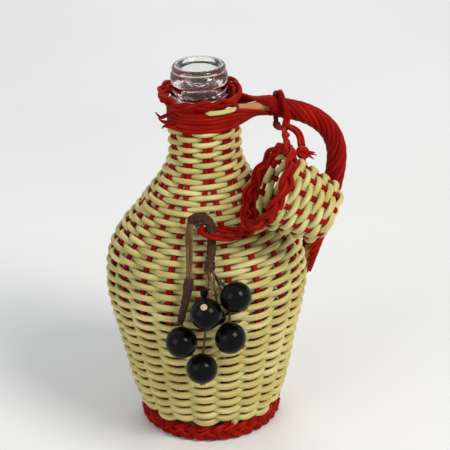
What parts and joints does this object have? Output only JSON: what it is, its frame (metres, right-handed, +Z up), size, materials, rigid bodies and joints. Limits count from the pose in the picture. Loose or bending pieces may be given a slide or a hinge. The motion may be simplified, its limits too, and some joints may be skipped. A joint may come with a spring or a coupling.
{
  "type": "wicker covered glass bottle",
  "caption": "Clear glass bottle in a cream and red woven cane jacket, with a wrapped side handle, a small wicker cup hung from it and a bunch of black berries",
  "frame": {"origin": "middle of the underside of the woven base, on the plane that the bottle stands on", "axes": "+Z up along the bottle, the handle lies in the XZ plane on the +X side, the berries hang on the -Y side"},
  "size_m": [0.1241, 0.1206, 0.1915],
  "materials": {
    "glass": "clear, slightly wavy",
    "peeled_cane": "satin, natural cream",
    "dyed_cane": "satin, dyed red, with fine lengthwise fibres",
    "handle_cane": "bare tan cane",
    "twig_tape": "dark brown crepe tape",
    "stem_wire": "thin dull brown stems",
    "berry": "glossy black"
  },
  "bodies": {
    "bottle": {"glass_bottle": "glass", "base_weave": "peeled_cane", "body_weave": "peeled_cane", "neck_weave": "peeled_cane", "foot_border": "dyed_cane", "rim_border": "dyed_cane", "handle_core": "handle_cane", "stake_01": "dyed_cane", "stake_02": "dyed_cane", "stake_03": "dyed_cane", "stake_04": "dyed_cane", "stake_05": "dyed_cane", "stake_06": "dyed_cane", "stake_07": "dyed_cane", "stake_08": "dyed_cane", "stake_09": "dyed_cane", "stake_10": "dyed_cane", "stake_11": "dyed_cane", "stake_12": "dyed_cane", "stake_13": "dyed_cane", "stake_14": "dyed_cane", "stake_15": "dyed_cane", "stake_16": "dyed_cane", "stake_17": "dyed_cane", "stake_18": "dyed_cane", "stake_19": "dyed_cane", "stake_20": "dyed_cane", "handle_strand_01": "dyed_cane", "handle_strand_02": "dyed_cane", "handle_strand_03": "dyed_cane", "handle_strand_04": "dyed_cane", "handle_strand_05": "dyed_cane", "handle_strand_06": "dyed_cane", "handle_strand_07": "dyed_cane", "handle_strand_08": "dyed_cane", "handle_strand_09": "dyed_cane", "handle_strand_10": "dyed_cane"},
    "cup": {"cup_weave": "peeled_cane", "cup_rim": "dyed_cane", "cup_tie": "dyed_cane", "cup_tie_knot": "dyed_cane", "berry_tie": "dyed_cane"},
    "bunch": {"twig": "twig_tape", "bud": "berry", "berry_small": "berry", "berry_1": "berry", "berry_2": "berry", "berry_3": "berry", "berry_4": "berry", "berry_5": "berry", "stem_1": "stem_wire", "stem_2": "stem_wire", "stem_3": "stem_wire", "stem_4": "stem_wire", "stem_5": "stem_wire", "stem_6": "stem_wire", "stem_7": "stem_wire"}
  },
  "joints": [
    {"name": "cup_swing", "type": "hinge", "parent": "bottle", "child": "cup", "pos_m": [0.03971, 0, 0.16552], "axis": [0.9608, 0, -0.2774], "range_deg": [-60, 0]},
    {"name": "bunch_swing", "type": "hinge", "parent": "cup", "child": "bunch", "pos_m": [-0.00278, -0.04067, 0.119], "axis": [0.9959, -0.0906, 0], "range_deg": [-30, 0]}
  ]
}
